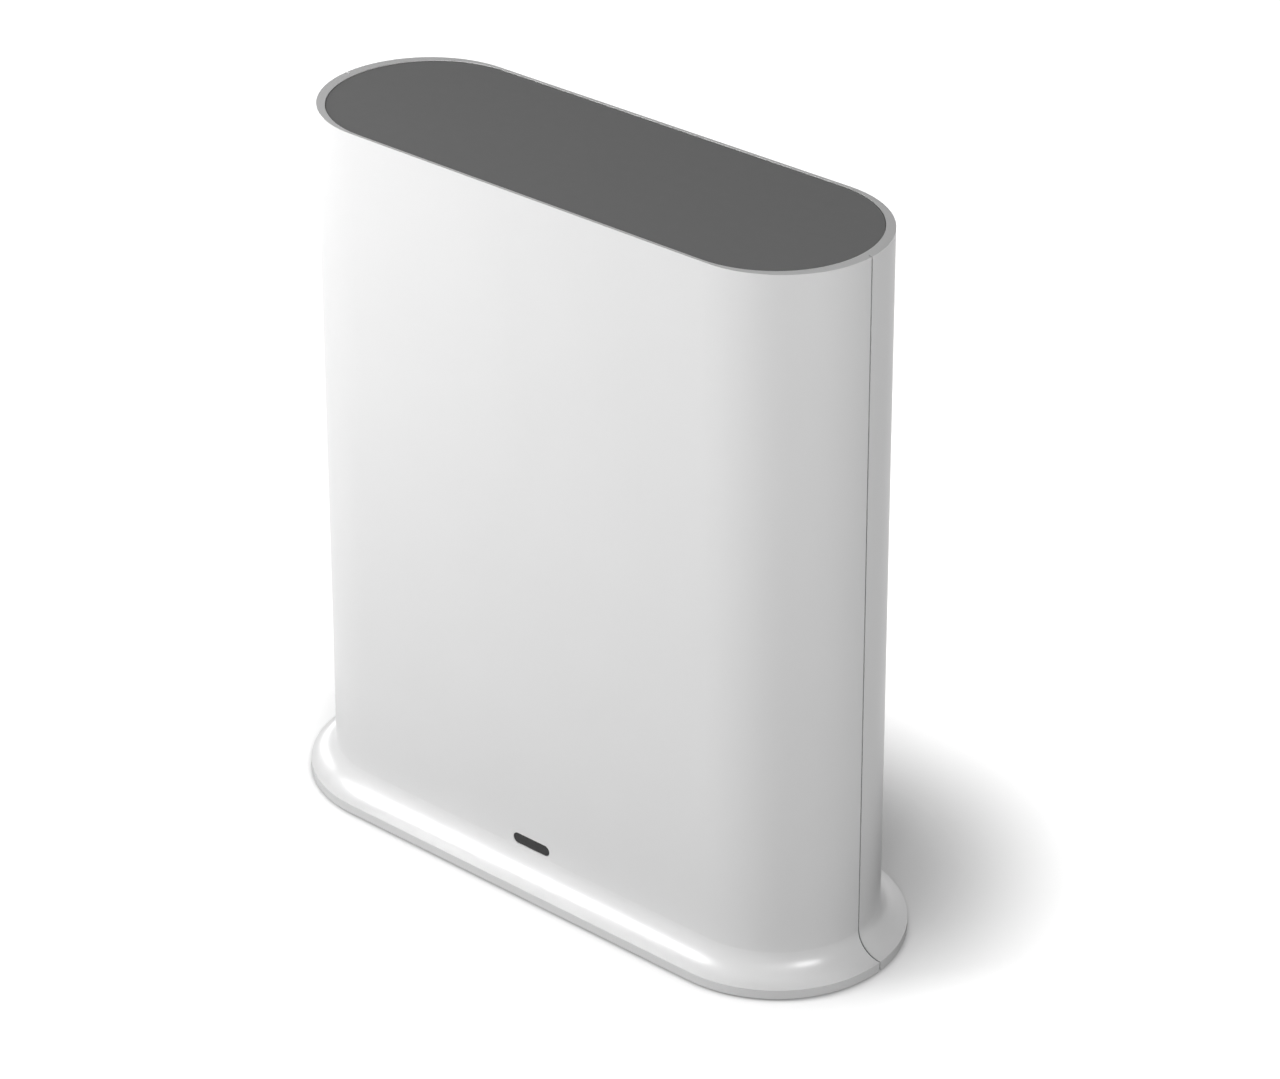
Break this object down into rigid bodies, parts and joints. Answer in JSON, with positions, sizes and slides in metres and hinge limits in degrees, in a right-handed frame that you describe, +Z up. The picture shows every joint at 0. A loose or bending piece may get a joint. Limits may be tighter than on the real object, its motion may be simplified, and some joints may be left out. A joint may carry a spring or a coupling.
{
  "type": "security camera base station",
  "caption": "Upright hub for wireless cameras: two-half oval housing on a flared foot, grey top panel, status window, and rear power, network and USB sockets with a pairing button.",
  "frame": {"origin": "on the table under the middle of the hub, at the underside of its rubber pads", "axes": "+Z up, -Y out of the front with the status window, +Y out of the rear with the sockets, +X along the width, to the right as seen from the front"},
  "size_m": [0.123, 0.0454, 0.13],
  "materials": {
    "white_shell": "fine satin moulding",
    "grey_panel": "smooth satin moulding",
    "grey_bezel": "fine satin moulding",
    "smoked_lens": "smoked, polished",
    "pad_rubber": "matt",
    "screw_steel": "zinc plated",
    "shield_steel": "tin plated sheet",
    "contact_gold": "gold flashed",
    "black_plastic": "moulded",
    "pale_plastic": "moulded",
    "board_laminate": "solder mask",
    "chip_resin": "moulded resin",
    "clear_plastic": "clear acrylic",
    "thermal_silicone": "soft",
    "sink_aluminium": "extruded",
    "ferrite": "pressed powder",
    "capacitor_can": "sleeved can",
    "ceramic": "fired",
    "antenna_copper": "copper on laminate",
    "lead_jacket": "extruded jacket"
  },
  "bodies": {
    "housing": {"front_shell": "white_shell", "rear_shell": "white_shell", "top_panel": "grey_panel", "base_plate": "white_shell", "foot_pads": "pad_rubber", "base_screws": "screw_steel", "indicator_lens": "smoked_lens", "light_pipe": "clear_plastic", "status_led": "pale_plastic", "main_board": "board_laminate", "board_screws": "screw_steel", "port_bezel": "grey_bezel", "ethernet_shield": "shield_steel", "ethernet_insert": "black_plastic", "ethernet_contacts": "contact_gold", "ethernet_transformer": "chip_resin", "usb_shell": "shield_steel", "usb_tongue": "black_plastic", "usb_contacts": "contact_gold", "power_jack_body": "black_plastic", "power_jack_pin": "shield_steel", "power_jack_spring": "contact_gold", "sync_switch_body": "black_plastic", "reset_switch_body": "black_plastic", "processor_chip": "chip_resin", "thermal_pad": "thermal_silicone", "heat_sink": "sink_aluminium", "heat_sink_pins": "black_plastic", "memory_chips": "chip_resin", "flash_chip": "chip_resin", "radio_chips": "chip_resin", "radio_shields": "shield_steel", "power_inductors": "ferrite", "bulk_capacitors": "capacitor_can", "board_passives": "ceramic", "antenna_left": "antenna_copper", "antenna_right": "antenna_copper", "antenna_top": "antenna_copper", "antenna_plugs": "contact_gold", "antenna_leads": "lead_jacket"},
    "pairing_button": {"sync_button": "white_shell", "sync_switch_plunger": "pale_plastic"},
    "reset_button": {"reset_switch_plunger": "pale_plastic"}
  },
  "joints": [
    {"name": "pairing_press", "type": "slide", "parent": "housing", "child": "pairing_button", "axis": [0, -1, 0], "range_m": [0, 0.0005], "stiffness_N_per_m": 3200},
    {"name": "reset_press", "type": "slide", "parent": "housing", "child": "reset_button", "axis": [0, -1, 0], "range_m": [0, 0.00025], "stiffness_N_per_m": 6400}
  ]
}
